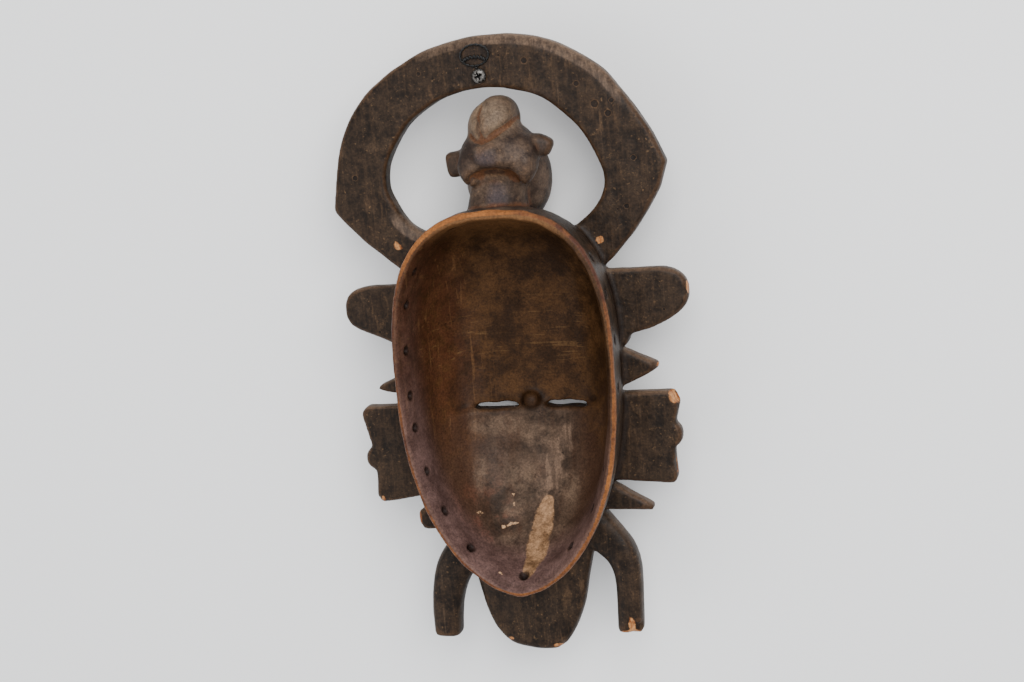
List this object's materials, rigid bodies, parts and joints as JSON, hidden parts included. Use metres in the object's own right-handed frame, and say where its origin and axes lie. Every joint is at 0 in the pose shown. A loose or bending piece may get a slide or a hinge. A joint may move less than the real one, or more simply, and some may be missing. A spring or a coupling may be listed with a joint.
{
  "type": "carved wooden face mask",
  "caption": "Carved wooden face mask lying face down: deep oval hollow with eye slits, ring with a small head, side lugs, short legs, tongue and a wire hanger.",
  "frame": {"origin": "centre of the bounding box, on the surface that the face rests on", "axes": "+X across the mask, +Y up the mask from the chin to the ring, +Z from the face to the opening of the hollow"},
  "size_m": [0.203, 0.3634, 0.087],
  "materials": {
    "carved_wood": "dark stained and worn, satin",
    "screw_steel": "dull zinc plate",
    "black_wire": "blackened iron wire"
  },
  "bodies": {
    "root": {"mask": "carved_wood", "hanger_screw": "screw_steel", "hanger_loop": "black_wire"}
  },
  "joints": []
}
